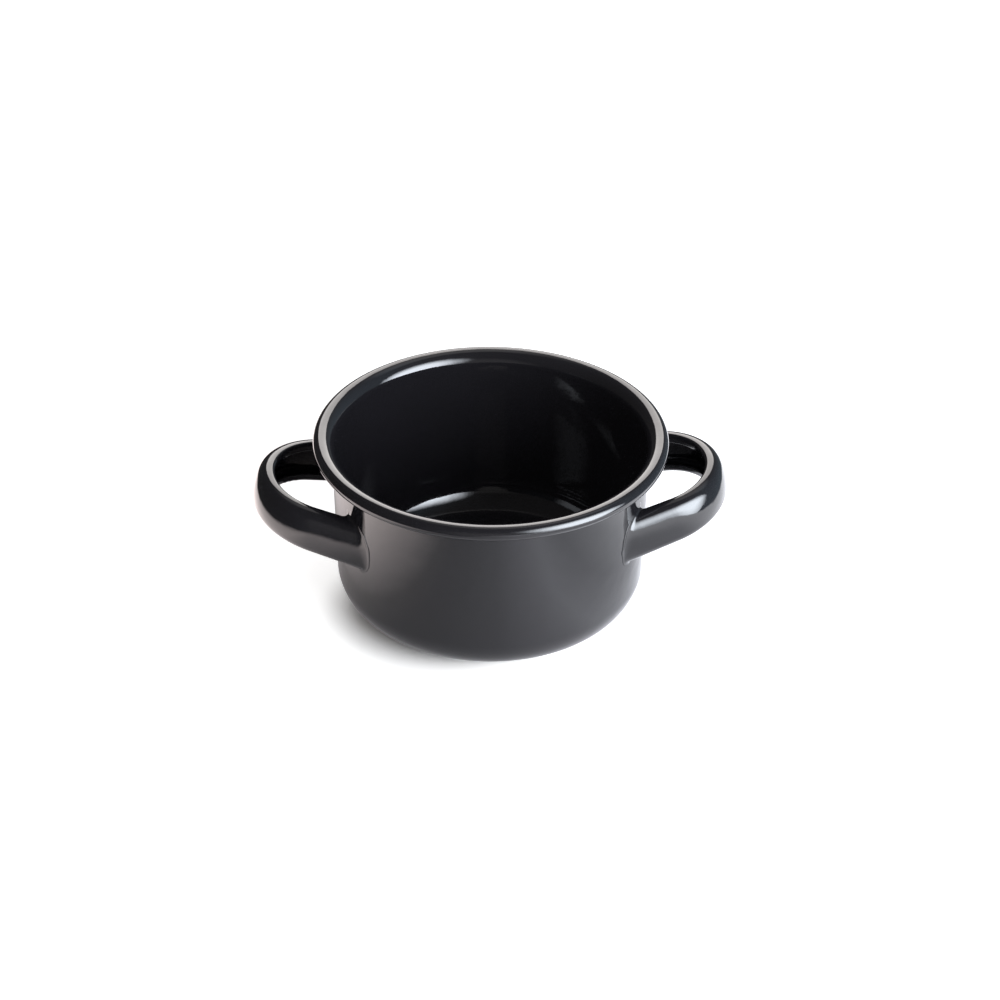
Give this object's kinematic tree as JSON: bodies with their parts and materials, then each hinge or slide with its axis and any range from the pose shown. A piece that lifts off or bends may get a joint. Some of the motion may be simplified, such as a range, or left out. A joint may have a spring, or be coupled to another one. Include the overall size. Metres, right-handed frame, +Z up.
{
  "type": "enamel stewpan",
  "caption": "Small round stewpan of black enamelled steel, whose wall turns out into a rolled rim, with a looped channel handle on each side.",
  "frame": {"origin": "on the table at the centre of the pan's foot, on the pan's axis", "axes": "+Z up along the pan's axis, +X from the left handle to the right handle, -Y towards the viewer"},
  "size_m": [0.205, 0.152, 0.0802],
  "materials": {
    "enamel": "gloss"
  },
  "bodies": {
    "root": {"pan_body": "enamel", "handle_left": "enamel", "handle_right": "enamel"}
  },
  "joints": []
}
